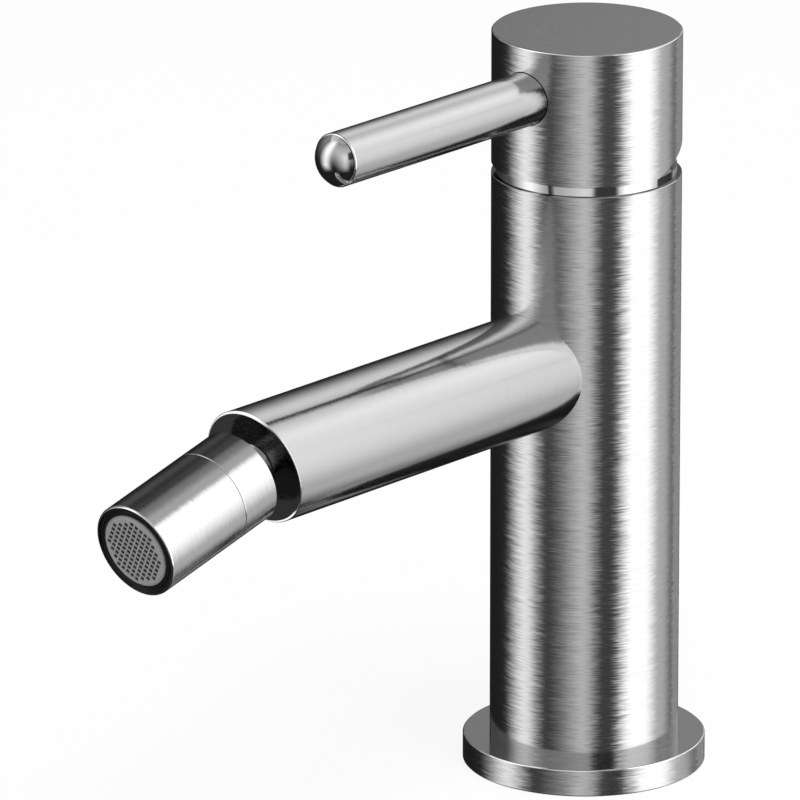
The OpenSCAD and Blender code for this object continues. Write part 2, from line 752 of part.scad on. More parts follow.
module nozzle_sleeve() {
    spigot_back = collar_back + collar_wall_len + 0.3;
    color(steel) at_nozzle() difference() {
        union() {
            sleeve_blank();
            translate([0, 0, spigot_back])
                cylinder(h = sleeve_back - spigot_back + 1, r = collar_cavity_r - thread_play);
        }
        hole(spigot_back, sleeve_front, sleeve_bore_r);
        translate([0, 0, aerator_back]) cylinder(h = nozzle_len, r = aerator_r + thread_play);
        translate([0, 0, sleeve_front - mouth_depth]) cylinder(h = nozzle_len, r = mouth_r);
    }
}

// The sleeve's outside, with a bevel at the seam and a rounded front edge
module sleeve_blank() {
    rounding = [
        for (turn = [0:30:90])
            [nozzle_r - lip_round_w * (1 - cos(turn)), sleeve_front - lip_round * (1 - sin(turn))]
    ];
    rotate_extrude()
        polygon(concat(
            [[0, sleeve_back], [nozzle_r - seam_bevel, sleeve_back], [nozzle_r, sleeve_back + seam_bevel]],
            rounding,
            [[0, sleeve_front]]
        ));
}

// Aerator insert in the nozzle's mouth
module aerator_gasket() {
    color(rubber) at_nozzle()
        ring(aerator_back + gasket_gap, aerator_back + aerator_gasket_t, sleeve_bore_r, aerator_r - 0.1);
}

module aerator_housing() {
    color(black_plastic) at_nozzle() difference() {
        union() {
            translate([0, 0, housing_back]) cylinder(h = housing_front - housing_back, r = aerator_r);
            translate([0, 0, sleeve_front - mouth_depth + touch_gap])
                cylinder(h = housing_front - sleeve_front + mouth_depth - touch_gap, r = mouth_r - thread_play);
        }
        hole(housing_back, sleeve_front, grid_r - 1);
        translate([0, 0, housing_back + housing_shelf_t]) cylinder(h = nozzle_len, r = grid_r + thread_play);
        rotate_extrude()
            polygon([
                [groove_r - groove_w / 2, housing_front], [groove_r, housing_front - groove_w / 2],
                [groove_r + groove_w / 2, housing_front], [groove_r + groove_w / 2, sleeve_front],
                [groove_r - groove_w / 2, sleeve_front]
            ]);
    }
}

// Perforated plate that breaks the stream into jets
module flow_plate() {
    z0 = housing_back + housing_shelf_t;
    color(white_plastic) at_nozzle() difference() {
        translate([0, 0, z0]) cylinder(h = flow_plate_t, r = grid_r);
        for (turn = [0:30:330])
            rotate([0, 0, turn]) translate([grid_r - outer_jets_inset, 0, 0]) hole(z0, z0 + flow_plate_t, jet_r);
        for (turn = [15:60:315])
            rotate([0, 0, turn]) translate([grid_r - inner_jets_inset, 0, 0]) hole(z0, z0 + flow_plate_t, jet_r);
    }
}

// Two fine wire screens on plastic rims, behind the grid
module mixing_screens() {
    z0 = housing_back + housing_shelf_t + flow_plate_t;
    color(polished_steel) at_nozzle() for (step = [0, 1]) translate([0, 0, z0 + step * screen_pitch]) {
        ring(0, screen_pitch - touch_gap, grid_r - screen_rim_w, grid_r);
        translate([0, 0, mesh_lift]) cylinder(h = mesh_t, r = grid_r - screen_rim_w + 0.3);
    }
}

// Square grid of bars in a plain rim, the face that the water leaves through.
// Its face stands a little proud and is bevelled round the edge.
module spray_grid() {
    half = floor(grid_r / grid_pitch);
    gap = grid_pitch - grid_bar;
    reach = grid_r - grid_rim;
    z0 = grid_front - grid_t;
    color(grid_plastic) at_nozzle() difference() {
        rotate_extrude()
            polygon([
                [0, z0], [grid_r, z0], [grid_r, grid_front - grid_bevel[1]],
                [grid_r - grid_bevel[0], grid_front], [0, grid_front]
            ]);
        rotate([0, 0, grid_turn])
            for (i = [-half:half], j = [-half:half])
                if (norm([i, j]) * grid_pitch + gap * 0.6 < reach)
                    translate([i * grid_pitch - gap / 2, j * grid_pitch - gap / 2, z0 - cut])
                        cube([gap, gap, grid_t + 2 * cut]);
    }
}

body();
base_flange();
base_gasket();
fixing_stud();
horseshoe_rubber();
horseshoe_plate();
fixing_nut();
cartridge_base();
port_seals();
disc_seals();
fixed_disc();
moving_disc();
disc_carrier();
cartridge_housing();
swivel_turret();
stem_pin();
cartridge_stem();
cartridge_nut();
cover_ring();
handle_cap();
handle_grub_screw();
lever_rod();
lever_tip();
socket_ring();
ball_slip_ring();
ball_seal();
swivel_ball();
nozzle_o_ring();
nozzle_collar();
nozzle_sleeve();
aerator_gasket();
aerator_housing();
flow_plate();
mixing_screens();
spray_grid();
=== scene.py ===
import math

import bmesh
import bpy
from mathutils import Matrix, Vector


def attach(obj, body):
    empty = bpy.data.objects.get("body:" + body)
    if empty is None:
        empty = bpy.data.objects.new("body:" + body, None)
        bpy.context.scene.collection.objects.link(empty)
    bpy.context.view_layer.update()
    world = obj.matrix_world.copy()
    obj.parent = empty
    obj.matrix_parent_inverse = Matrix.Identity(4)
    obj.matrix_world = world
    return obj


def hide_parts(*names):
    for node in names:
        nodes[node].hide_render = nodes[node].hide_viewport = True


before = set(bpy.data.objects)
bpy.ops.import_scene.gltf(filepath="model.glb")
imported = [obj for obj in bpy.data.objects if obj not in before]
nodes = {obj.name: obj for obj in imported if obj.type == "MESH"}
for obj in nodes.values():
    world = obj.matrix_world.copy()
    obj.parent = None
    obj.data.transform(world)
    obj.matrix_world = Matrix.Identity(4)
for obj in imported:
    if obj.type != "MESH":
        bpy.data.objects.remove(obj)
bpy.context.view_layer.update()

scene = bpy.context.scene
scene.view_settings.view_transform = "Standard"


# Camera: it stands to the right of the mixer's front and a little above it,
# well back, so that its long lens shows parallel edges as nearly parallel.
CAMERA_AZIMUTH = math.radians(41.664)
CAMERA_ELEVATION = math.radians(17.970)
CAMERA_DISTANCE = 2.6701
CAMERA_SHIFT = (-0.040984, 0.079452)
LENS, SENSOR = 538.2, 36
NEAREST_SEEN, FARTHEST_SEEN = 0.1, 60

back = Vector(
    (
        math.sin(CAMERA_AZIMUTH) * math.cos(CAMERA_ELEVATION),
        -math.cos(CAMERA_AZIMUTH) * math.cos(CAMERA_ELEVATION),
        math.sin(CAMERA_ELEVATION),
    )
)
right = Vector((math.cos(CAMERA_AZIMUTH), math.sin(CAMERA_AZIMUTH), 0))
up = back.cross(right)
camera = bpy.data.objects.new("camera", bpy.data.cameras.new("camera"))
scene.collection.objects.link(camera)
camera.data.lens, camera.data.sensor_width = LENS, SENSOR
camera.data.clip_start, camera.data.clip_end = NEAREST_SEEN, FARTHEST_SEEN
turned = Matrix((right, up, back)).transposed().to_4x4()
place = back * CAMERA_DISTANCE + right * CAMERA_SHIFT[0] + up * CAMERA_SHIFT[1]
camera.matrix_world = Matrix.Translation(place) @ turned
scene.camera = camera


# Studio: a black tent with soft boxes and black cards stands round the mixer,
# as it does when shiny metal is photographed, and only reflections see it.
# Under the mixer lies a white table, on which one wide lamp throws a shadow.
class FinishBench:
    """The small steps that each finish and each light is put together from."""

    def __init__(self, tree):
        self.tree = tree
        tree.nodes.clear()

    def add(self, kind, **values):
        node = self.tree.nodes.new(kind)
        for key, value in values.items():
            setattr(node, key, value)
        return node

    def put(self, socket, value):
        if isinstance(value, bpy.types.NodeSocket):
            self.tree.links.new(value, socket)
        else:
            socket.default_value = value

    def math(self, operation, *values):
        node = self.add("ShaderNodeMath", operation=operation)
        for socket, value in zip(node.inputs, values):
            self.put(socket, value)
        return node.outputs[0]

    def vector(self, operation, *values):
        node = self.add("ShaderNodeVectorMath", operation=operation)
        for socket, value in zip(node.inputs, values):
            self.put(socket, value)
        return node.outputs["Value" if operation in ("LENGTH", "DOT_PRODUCT") else "Vector"]

    def scaled(self, vector, factor):
        node = self.add("ShaderNodeVectorMath", operation="SCALE")
        self.put(node.inputs[0], vector)
        self.put(node.inputs["Scale"], factor)
        return node.outputs["Vector"]

    def parts(self, vector):
        node = self.add("ShaderNodeSeparateXYZ")
        self.put(node.inputs[0], vector)
        return node.outputs

    def place(self):
        return self.add("ShaderNodeTexCoord").outputs["Object"]

    def noise(self, vector, scale, detail=2.0, roughness=0.5):
        node = self.add("ShaderNodeTexNoise")
        self.put(node.inputs["Vector"], vector)
        for name, value in (("Scale", scale), ("Detail", detail), ("Roughness", roughness)):
            node.inputs[name].default_value = value
        return node.outputs["Fac"]

    def spread(self, value, low, high, out_low, out_high, smooth=False):
        node = self.add("ShaderNodeMapRange", clamp=True)
        if smooth:
            node.interpolation_type = "SMOOTHSTEP"
        for socket, amount in zip(node.inputs, (value, low, high, out_low, out_high)):
            self.put(socket, amount)
        return node.outputs[0]

    def where(self, share, otherwise, value):
        """A number that is one thing where share is 0 and another where it is 1."""
        return self.spread(share, 0.0, 1.0, otherwise, value)

    def mixed(self, share, a, b):
        node = self.add("ShaderNodeMix", data_type="VECTOR")
        for socket, value in zip((node.inputs[0], node.inputs[4], node.inputs[5]), (share, a, b)):
            self.put(socket, value)
        return node.outputs[1]

    def colour(self, value, tint=(1, 1, 1)):
        node = self.add("ShaderNodeCombineColor")
        for socket, share in zip(node.inputs, tint):
            self.put(socket, value if share == 1 else self.math("MULTIPLY", value, share))
        return node.outputs[0]

    def bumps(self, height, strength, depth):
        node = self.add("ShaderNodeBump")
        node.inputs["Strength"].default_value = strength
        node.inputs["Distance"].default_value = depth
        self.put(node.inputs["Height"], height)
        return node.outputs[0]

    def shows_backdrop(self):
        """1 for what the camera sees, straight, mirrored or through glass, and 0 for light."""
        path = self.add("ShaderNodeLightPath").outputs
        shown = self.math("MAXIMUM", path["Is Camera Ray"], path["Is Glossy Ray"])
        return self.math("MAXIMUM", shown, path["Is Transmission Ray"])

    def close(self, shader, kind="ShaderNodeOutputMaterial"):
        self.put(self.add(kind).inputs["Surface"], shader.outputs[0])


NOISE_SPAN = (0.3, 0.7)  # nearly all values of a noise lie between these


def new_finish(name):
    material = bpy.data.materials.new(name)
    material.use_nodes = True
    return material, FinishBench(material.node_tree)


def as_object(name, bm, material=None):
    """Makes a finished mesh into an object that stands at the origin."""
    mesh = bpy.data.meshes.new(name)
    bm.to_mesh(mesh)
    bm.free()
    if material:
        mesh.materials.append(material)
    made = bpy.data.objects.new(name, mesh)
    scene.collection.objects.link(made)
    return made


# Each soft box and card: azimuth that it starts at and how soft that edge is,
# azimuth that it ends at and how soft, its low and high elevation and how soft
# both are, all in degrees, and a box's strength. Azimuth runs from the mixer's
# front towards its right.
SOFT_BOXES = (
    (-52, 44, -25, 33, -29, 60, 24, 1.38),
    (37, 86, 48, 27, -31, 23, 32, 1.4),
    (-55, 86, 125, 80, 9, 60, 78, 0.79),
    (88, 25, 132, 27, -30, 54, 6, 1.6),
    (137, 44, 158, 70, -51, 67, 29, 1.01),
    (178, 1, 208, 1, -38, 26, 21, 0.37),
    (149, 57, 219, 33, 24, 38, 56, 2.39),
    (-106, 39, -56, 35, 45, 83, 4, 0.59),
    (-122, 10, -74, 21, 17, 58, 64, 0.34),
)
BLACK_CARDS = (
    (50, 8, 81, 8, 6, 32, 6),
    (141, 2, 190, 35, -2, 19, 2),
)
CARD_BLACKNESS = 0.93
TOP_LIGHT_LOW, TOP_LIGHT_EDGE, TOP_LIGHT = 64, 7, 0.26
TENT_CLOTH = 0.02
TENT_LIGHT = 1.24
TENT_RADIUS = 20


def window(b, value, low, low_edge, high, high_edge):
    """1 between low and high, and 0 outside them, with soft edges."""
    rising = b.spread(value, low - low_edge / 2, low + low_edge / 2, 0.0, 1.0, smooth=True)
    falling = b.spread(value, high - high_edge / 2, high + high_edge / 2, 1.0, 0.0, smooth=True)
    return b.math("MULTIPLY", rising, falling)


def patch(b, azimuth, elevation, start, start_edge, end, end_edge, low, high, edge):
    """1 on one patch of the tent, and 0 round it."""
    half = (end - start) / 2
    off = b.math("WRAP", b.math("SUBTRACT", azimuth, start + half), 180.0, -180.0)
    beside = window(b, off, -half, start_edge, half, end_edge)
    return b.math("MULTIPLY", beside, window(b, elevation, low, edge, high, edge))


material, b = new_finish("studio_tent")
x, y, z = b.parts(b.vector("NORMALIZE", b.place()))
azimuth = b.math("DEGREES", b.math("ARCTAN2", x, b.math("MULTIPLY", y, -1)))
elevation = b.math("DEGREES", b.math("ARCSINE", z))
light = 0.0
for *box, strength in SOFT_BOXES:
    box_light = b.math("MULTIPLY", patch(b, azimuth, elevation, *box), strength)
    light = b.math("ADD", light, box_light)
for card in BLACK_CARDS:
    left_over = b.where(patch(b, azimuth, elevation, *card), 1.0, 1 - CARD_BLACKNESS)
    light = b.math("MULTIPLY", light, left_over)
top_start, top_full = TOP_LIGHT_LOW - TOP_LIGHT_EDGE / 2, TOP_LIGHT_LOW + TOP_LIGHT_EDGE / 2
above = b.spread(
    elevation, top_start, top_full, TENT_CLOTH, TENT_CLOTH + TOP_LIGHT, smooth=True
)
light = b.math("ADD", light, above)
glow = b.add("ShaderNodeEmission")
b.put(glow.inputs["Strength"], b.math("MULTIPLY", light, TENT_LIGHT))
b.close(glow)
material.cycles.emission_sampling = "NONE"

bm = bmesh.new()
bmesh.ops.create_icosphere(bm, subdivisions=5, radius=TENT_RADIUS)
bmesh.ops.reverse_faces(bm, faces=bm.faces)
tent = as_object("studio_tent", bm, material)
for kind in ("camera", "diffuse", "transmission", "volume_scatter", "shadow"):
    setattr(tent, "visible_" + kind, False)

ROOM_LIGHT = 0.6
world = bpy.data.worlds.new("white_room")
scene.world = world
world.use_nodes = True
b = FinishBench(world.node_tree)
room = b.add("ShaderNodeBackground")
room.inputs["Color"].default_value = (1, 1, 1, 1)
b.put(room.inputs["Strength"], b.where(b.shows_backdrop(), ROOM_LIGHT, 1.0))
b.close(room, "ShaderNodeOutputWorld")

LAMP_PLACE = Vector((0.9, -0.5, 1.9))
LAMP_TARGET = Vector((0, 0, 0.05))
LAMP_SIZE, LAMP_POWER = 1.6, 28
lamp = bpy.data.objects.new("wide_lamp", bpy.data.lights.new("wide_lamp", "AREA"))
scene.collection.objects.link(lamp)
lamp.data.shape = "DISK"
lamp.data.size = LAMP_SIZE
lamp.data.energy = LAMP_POWER
lamp.visible_glossy = False
lamp_turn = (LAMP_PLACE - LAMP_TARGET).to_track_quat("Z", "Y").to_matrix().to_4x4()
lamp.matrix_world = Matrix.Translation(LAMP_PLACE) @ lamp_turn

TABLE_SHOWN_WHITE = 0.85
TABLE_CLOUDS, TABLE_TONES = 3.0, (0.95, 0.97)
TABLE_HALF_WIDTH = 12
TABLE_BELOW_FLANGE = 0.00005
material, b = new_finish("white_table")
cloth = b.add("ShaderNodeBsdfDiffuse")
grain = b.noise(b.place(), TABLE_CLOUDS)
b.put(cloth.inputs["Color"], b.colour(b.spread(grain, *NOISE_SPAN, *TABLE_TONES)))
glow = b.add("ShaderNodeEmission")
surface = b.add("ShaderNodeMixShader")
b.put(surface.inputs[0], b.math("MULTIPLY", b.shows_backdrop(), TABLE_SHOWN_WHITE))
b.put(surface.inputs[1], cloth.outputs[0])
b.put(surface.inputs[2], glow.outputs[0])
b.close(surface)
bm = bmesh.new()
bmesh.ops.create_grid(bm, x_segments=1, y_segments=1, size=TABLE_HALF_WIDTH)
bmesh.ops.translate(bm, verts=bm.verts, vec=(0, 0, -TABLE_BELOW_FLANGE))
table = as_object("table", bm, material)
table.visible_glossy = False


# Body: a stainless steel bar and the spout's tube, welded into one piece and
# brushed round each axis on the lathe. The spout's end face is polished, and
# the hose inlets under the body have an M10 thread.
BODY_RADIUS = 0.021
SPOUT_RADIUS = 0.0132
SPOUT_AXIS_Z = 0.0947
NOZZLE_TILT = math.radians(14.6)
NOZZLE_AXIS = (0, -math.cos(NOZZLE_TILT), -math.sin(NOZZLE_TILT))

STEEL = 0.5  # grey tone of bare steel
SATIN = 0.13  # roughness of brushed steel
STREAK_LENGTH, LINE_WIDTH = 0.006, 0.00023
HAIRLINES_PER_LINE = 6
ROW_SHIFT = 60.0  # how far apart neighbouring lines lie in the noise
BEND_SPAN, TONE_SPAN = (0.2, 0.8), (0.25, 0.75)  # noise that gives the full bend and contrast
LINE_CONTRAST = 0.016  # change of tone for each degree that a line wanders
GLOSS_CHANGE = 0.02
GRAZING_TINT = (0.75, 0.75, 0.75, 1)

BAR_TURN = 0.985  # a normal this near to the radius belongs to a turned bar or bore
EDGE_TURN, SPOUT_EDGE_TURN = 0.15, 0.35  # and one between this and BAR_TURN to an edge
# Bevelled edges are drawn 1.4 times lighter than the steel round them: a painted highlight.
EDGE_PAINTED_HIGHLIGHT = 1.4
FLAT_CALM, SPOUT_CALM, SPOUT_END_CALM = 0.2, 0.25, 0.3  # share of the bend left there
SPOUT_END_TONE = 0.8
WELD_PLAY = 0.00005


def brushed(
    name, tone, roughness, wander, haze=0.5, axis=(0, 0, 1), through=(0, 0, 0), tint=(1, 1, 1),
    edge=None, face_from=0.9, face_tone=1.0, lean=0.0, bar=True, spout=False,
):
    """Metal brushed round an axis: each line bends the light a little its own way.

    wander is the bend of the lines that show, haze that of the hairlines
    between them, in degrees. edge gives a bar's radius and its bevel, over
    which the light rolls as on a rounded edge, and whose tone is raised by
    a painted highlight. Faces whose normal is nearer to the axis than
    face_from are flat and take face_tone, which on some pieces is painted
    shade. lean tips a polished wall back by some degrees, as the light sees it.
    """
    material, b = new_finish(name)
    spot = b.add("ShaderNodeTexCoord").outputs
    at, meshed = spot["Object"], spot["Normal"]
    if spout:
        x, y, z = b.parts(at)
        out = b.math("SQRT", b.math("ADD", b.math("MULTIPLY", x, x), b.math("MULTIPLY", y, y)))
        on_spout = b.math("GREATER_THAN", out, BODY_RADIUS + WELD_PLAY)
        axis = b.mixed(on_spout, (0, 0, 1), (0, 1, 0))
        through = b.mixed(on_spout, (0, 0, 0), (0, 0, SPOUT_AXIS_Z))
    inside = b.vector("SUBTRACT", at, through)
    height = b.vector("DOT_PRODUCT", inside, axis)
    across = b.vector("SUBTRACT", inside, b.scaled(axis, height))
    outward = b.vector("NORMALIZE", across)
    radius = b.vector("LENGTH", across)
    around = b.vector("CROSS_PRODUCT", axis, outward)
    facing = b.vector("DOT_PRODUCT", meshed, outward)
    rising = b.vector("DOT_PRODUCT", meshed, axis)

    # The exact normal of a round bar and of its rounded edge.
    normal = meshed
    if bar:
        round_bar = b.math("GREATER_THAN", b.math("ABSOLUTE", facing), BAR_TURN)
        side = b.scaled(outward, b.math("SIGN", facing))
        if lean:
            tipped = b.scaled(axis, math.tan(math.radians(lean)))
            side = b.vector("NORMALIZE", b.vector("ADD", side, tipped))
        normal = b.mixed(round_bar, meshed, side)
    if edge:
        bar_radius, bevel = edge
        off_face = b.math("GREATER_THAN", facing, SPOUT_EDGE_TURN if spout else EDGE_TURN)
        on_edge = b.math("MULTIPLY", off_face, b.math("LESS_THAN", facing, BAR_TURN))
        if spout:
            on_edge = b.math("MULTIPLY", on_edge, on_spout)
        roll = b.spread(radius, bar_radius - bevel, bar_radius, math.pi / 2, 0.0)
        side = b.scaled(outward, b.math("COSINE", roll))
        upright = b.math("MULTIPLY", b.math("SIGN", rising), b.math("SINE", roll))
        normal = b.mixed(on_edge, normal, b.vector("ADD", side, b.scaled(axis, upright)))

    # The brush's lines, each a row of its own in the noise.
    along = b.math("ADD", height, radius)

    def lines(length, width):
        row = b.add("ShaderNodeTexWhiteNoise", noise_dimensions="1D")
        b.put(row.inputs["W"], b.math("FLOOR", b.math("DIVIDE", along, width)))
        own_place = b.scaled(axis, b.math("MULTIPLY", row.outputs["Value"], ROW_SHIFT))
        return b.noise(b.vector("ADD", b.scaled(across, 1 / length), own_place), 1.0, 1.0)

    strokes = lines(STREAK_LENGTH, LINE_WIDTH)
    hairlines = lines(STREAK_LENGTH / 2, LINE_WIDTH / HAIRLINES_PER_LINE)
    coarse, fine = math.radians(wander), math.radians(haze)
    coarse_bend = b.spread(strokes, *BEND_SPAN, -coarse, coarse)
    bend = b.math("ADD", coarse_bend, b.spread(hairlines, *BEND_SPAN, -fine, fine))

    # Flat faces, edges and the spout are calmer or have a tone of their own. The lighter tone of an
    # edge is a painted highlight, and the darker tone of some flat faces is painted shade.
    flat = b.math("GREATER_THAN", b.math("ABSOLUTE", rising), face_from)
    calm = b.where(flat, 1.0, FLAT_CALM)
    face = b.where(flat, 1.0, face_tone)
    if edge:
        # Painted highlight: the tone on a bevelled edge is raised.
        face = b.math("MULTIPLY", face, b.where(on_edge, 1.0, EDGE_PAINTED_HIGHLIGHT))
    if spout:
        end = b.math("GREATER_THAN", b.vector("DOT_PRODUCT", meshed, NOZZLE_AXIS), BAR_TURN)
        calm = b.math("MULTIPLY", calm, b.where(on_spout, 1.0, SPOUT_CALM))
        calm = b.math("MULTIPLY", calm, b.where(end, 1.0, SPOUT_END_CALM))
        face = b.where(end, face, SPOUT_END_TONE)

    bend = b.math("MULTIPLY", bend, calm)
    bent = b.vector("NORMALIZE", b.vector("ADD", normal, b.scaled(around, bend)))
    turned = b.add(
        "ShaderNodeVectorTransform", vector_type="NORMAL", convert_from="OBJECT", convert_to="WORLD"
    )
    b.put(turned.inputs[0], bent)
    contrast = b.math("MULTIPLY", b.spread(strokes, *TONE_SPAN, -1.0, 1.0), calm)
    streaked = b.math("ADD", b.math("MULTIPLY", contrast, LINE_CONTRAST * wander), tone)
    gloss = b.spread(strokes, *NOISE_SPAN, roughness - GLOSS_CHANGE, roughness + GLOSS_CHANGE)
    metal = b.add("ShaderNodeBsdfPrincipled")
    metal.inputs["Metallic"].default_value = 1.0
    metal.inputs["Specular Tint"].default_value = GRAZING_TINT
    b.put(metal.inputs["Base Color"], b.colour(b.math("MULTIPLY", streaked, face), tint))
    b.put(metal.inputs["Roughness"], gloss)
    b.put(metal.inputs["Normal"], turned.outputs[0])
    b.close(metal)
    return material


def finish(material, *names):
    for name in names:
        nodes[name].data.materials.clear()
        nodes[name].data.materials.append(material)


TURNED_WANDER, TURNED_HAZE = 2.3, 4.5
SPOUT_BEVEL = 0.0002
# The body's flat faces are drawn at a fifth of the steel's tone: painted shade on the top rim in
# the gap under the cap.
BODY_RIM_PAINTED_SHADE = 0.2
body_steel = brushed(
    "body_brushed_steel", STEEL, SATIN, TURNED_WANDER, TURNED_HAZE,
    edge=(SPOUT_RADIUS, SPOUT_BEVEL), face_tone=BODY_RIM_PAINTED_SHADE, spout=True,
)
finish(body_steel, "body")

SHARPEST_SMOOTH = math.radians(32)
SAME_POINT = 1e-7


def make_piece(name, bm, material, body, stands_for=()):
    """Closes a piece's mesh, gives it its finish and lets it ride on its body."""
    bmesh.ops.remove_doubles(bm, verts=bm.verts, dist=SAME_POINT)
    bmesh.ops.recalc_face_normals(bm, faces=bm.faces)
    for face in bm.faces:
        face.smooth = True
    for edge in bm.edges:
        if edge.is_manifold and edge.calc_face_angle() > SHARPEST_SMOOTH:
            edge.smooth = False
    piece = as_object(name, bm, material)
    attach(piece, body)
    if stands_for:
        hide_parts(*stands_for)


THREAD_FOOT, THREAD_TIP = 0.44, 0.07  # half widths of a thread, in pitches
STEPS_PER_TURN = 24


def wind_thread(bm, middle, low, high, crest, root, pitch):
    """Winds a V thread round a bar, or inside a bore where its crest is nearer the axis."""
    turns = (high - low) / pitch - 1
    corners = (
        (root, -THREAD_FOOT), (crest, -THREAD_TIP), (crest, THREAD_TIP), (root, THREAD_FOOT),
    )
    ring = [bm.verts.new((middle[0] + r, middle[1], low + pitch * (0.5 + h))) for r, h in corners]
    edges = [bm.edges.new((ring[i - 1], ring[i])) for i in range(len(ring))]
    wound = bmesh.ops.spin(
        bm, geom=ring + edges, cent=(*middle, 0), axis=(0, 0, 1),
        dvec=(0, 0, pitch / STEPS_PER_TURN), angle=2 * math.pi * turns,
        steps=round(STEPS_PER_TURN * turns),
    )
    last_edges = [part for part in wound["geom_last"] if isinstance(part, bmesh.types.BMEdge)]
    bmesh.ops.contextual_create(bm, geom=edges)
    bmesh.ops.contextual_create(bm, geom=last_edges)


INLETS = ((-0.008, -0.0038), (0.008, -0.0038))
INLET_LOW, INLET_HIGH = 0.0012, 0.0124
INLET_CREST, INLET_ROOT, INLET_PITCH = 0.00415, 0.00455, 0.001
bm = bmesh.new()
for middle in INLETS:
    wind_thread(bm, middle, INLET_LOW, INLET_HIGH, INLET_CREST, INLET_ROOT, INLET_PITCH)
thread_steel = brushed("thread_steel", STEEL, 0.3, 1.0, bar=False)
make_piece("inlet_threads", bm, thread_steel, "mixer_body")


# Base flange: a loose steel ring that covers the joint with the deck, brushed
# like the body. A rubber gasket is let into its underside.
FLANGE_RADIUS, FLANGE_BEVEL = 0.027, 0.0003
FLANGE_TOP_TONE = 0.85
flange_steel = brushed(
    "flange_brushed_steel", STEEL, SATIN, TURNED_WANDER, TURNED_HAZE,
    edge=(FLANGE_RADIUS, FLANGE_BEVEL), face_tone=FLANGE_TOP_TONE,
)
finish(flange_steel, "base_flange")

RUBBER_GRAINS, RUBBER_DUST = 1800.0, 160.0  # per metre
RUBBER_RELIEF, RUBBER_DEPTH = 0.35, 0.00006
BLOOM_DARK, BLOOM_LIGHT = 0.75, 1.35
RUBBER_GLOSS_CHANGE = 0.08


def rubber(name, tone=0.025, roughness=0.6):
    """Black moulded rubber with a dusty, fine grain."""
    material, b = new_finish(name)
    at = b.place()
    grain = b.noise(at, RUBBER_GRAINS, 3.0, 0.6)
    dust = b.noise(at, RUBBER_DUST, 2.0)
    skin = b.add("ShaderNodeBsdfPrincipled")
    shade = b.spread(dust, *NOISE_SPAN, tone * BLOOM_DARK, tone * BLOOM_LIGHT)
    b.put(skin.inputs["Base Color"], b.colour(shade))
    dull, shiny = roughness + RUBBER_GLOSS_CHANGE, roughness - RUBBER_GLOSS_CHANGE
    b.put(skin.inputs["Roughness"], b.spread(dust, *NOISE_SPAN, shiny, dull))
    b.put(skin.inputs["Normal"], b.bumps(grain, RUBBER_RELIEF, RUBBER_DEPTH))
    b.close(skin)
    return material


finish(rubber("gasket_rubber"), "base_gasket")


# Fixing kit: an M8 stud screwed into the body from below, with a horseshoe of
# rubber, one of galvanised plate and a hexagon nut that clamp the deck.
STUD_MIDDLE = (0, 0.011)
STUD_LOW, STUD_HIGH = -0.050, 0.0136
STUD_RADIUS, STUD_CORE, STUD_ROOT, STUD_PITCH = 0.00395, 0.0033, 0.00322, 0.00125
STUD_CHAMFER, STUD_PLAIN_END = 0.0006, 0.0003
BOLT_STEEL = 0.55
LEVEL = 1e-6  # two heights nearer than this are the same
bm = bmesh.new()
bmesh.ops.create_cone(
    bm, cap_ends=True, segments=48, radius1=STUD_CORE, radius2=STUD_CORE,
    depth=STUD_HIGH - STUD_LOW,
    matrix=Matrix.Translation((*STUD_MIDDLE, (STUD_HIGH + STUD_LOW) / 2)),
)
rims = [e for e in bm.edges if abs(e.verts[0].co.z - e.verts[1].co.z) < LEVEL]
bmesh.ops.bevel(
    bm, geom=rims, offset=STUD_CHAMFER, affect="EDGES", segments=2, profile=0.5, material=-1
)
wind_thread(
    bm, STUD_MIDDLE, STUD_LOW + STUD_PLAIN_END, STUD_HIGH - STUD_PLAIN_END,
    STUD_RADIUS, STUD_ROOT, STUD_PITCH,
)
stud_steel = brushed("stud_steel", BOLT_STEEL, 0.28, 1.5, through=(*STUD_MIDDLE, 0), bar=False)
make_piece("threaded_stud", bm, stud_steel, "mixer_body", ["fixing_stud"])

NUT_LOW, NUT_HIGH, NUT_FLATS = -0.0265, -0.020, 0.013
NUT_BORE, NUT_BORE_CHAMFER, NUT_CORNER_CHAMFER = 0.0040, 0.0004, 0.0011
TURNING_PLAY = 0.0001
corner = NUT_FLATS / 2 / math.cos(math.radians(30))
nut_place = Matrix.Translation((*STUD_MIDDLE, (NUT_HIGH + NUT_LOW) / 2))
bm = bmesh.new()
bmesh.ops.create_cone(
    bm, cap_ends=True, segments=6, radius1=corner, radius2=corner, depth=NUT_HIGH - NUT_LOW,
    matrix=nut_place @ Matrix.Rotation(math.radians(30), 4, "Z"),
)
nut_blank = as_object("nut_hexagon", bm)

face_edge = NUT_FLATS / 2 - TURNING_PLAY
outside = corner + TURNING_PLAY
corner_drop = NUT_CORNER_CHAMFER * 0.45
outline = (
    (NUT_BORE, NUT_LOW + NUT_BORE_CHAMFER), (NUT_BORE + NUT_BORE_CHAMFER, NUT_LOW),
    (face_edge, NUT_LOW), (outside, NUT_LOW + corner_drop),
    (outside, NUT_HIGH - corner_drop), (face_edge, NUT_HIGH),
    (NUT_BORE + NUT_BORE_CHAMFER, NUT_HIGH), (NUT_BORE, NUT_HIGH - NUT_BORE_CHAMFER),
)
bm = bmesh.new()
ring = [bm.verts.new((STUD_MIDDLE[0] + r, STUD_MIDDLE[1], z)) for r, z in outline]
edges = [bm.edges.new((ring[i - 1], ring[i])) for i in range(len(ring))]
bmesh.ops.spin(
    bm, geom=ring + edges, cent=(*STUD_MIDDLE, 0), axis=(0, 0, 1), angle=2 * math.pi, steps=72,
    use_merge=True,
)
bmesh.ops.recalc_face_normals(bm, faces=bm.faces)
nut_turning = as_object("nut_chamfers", bm)

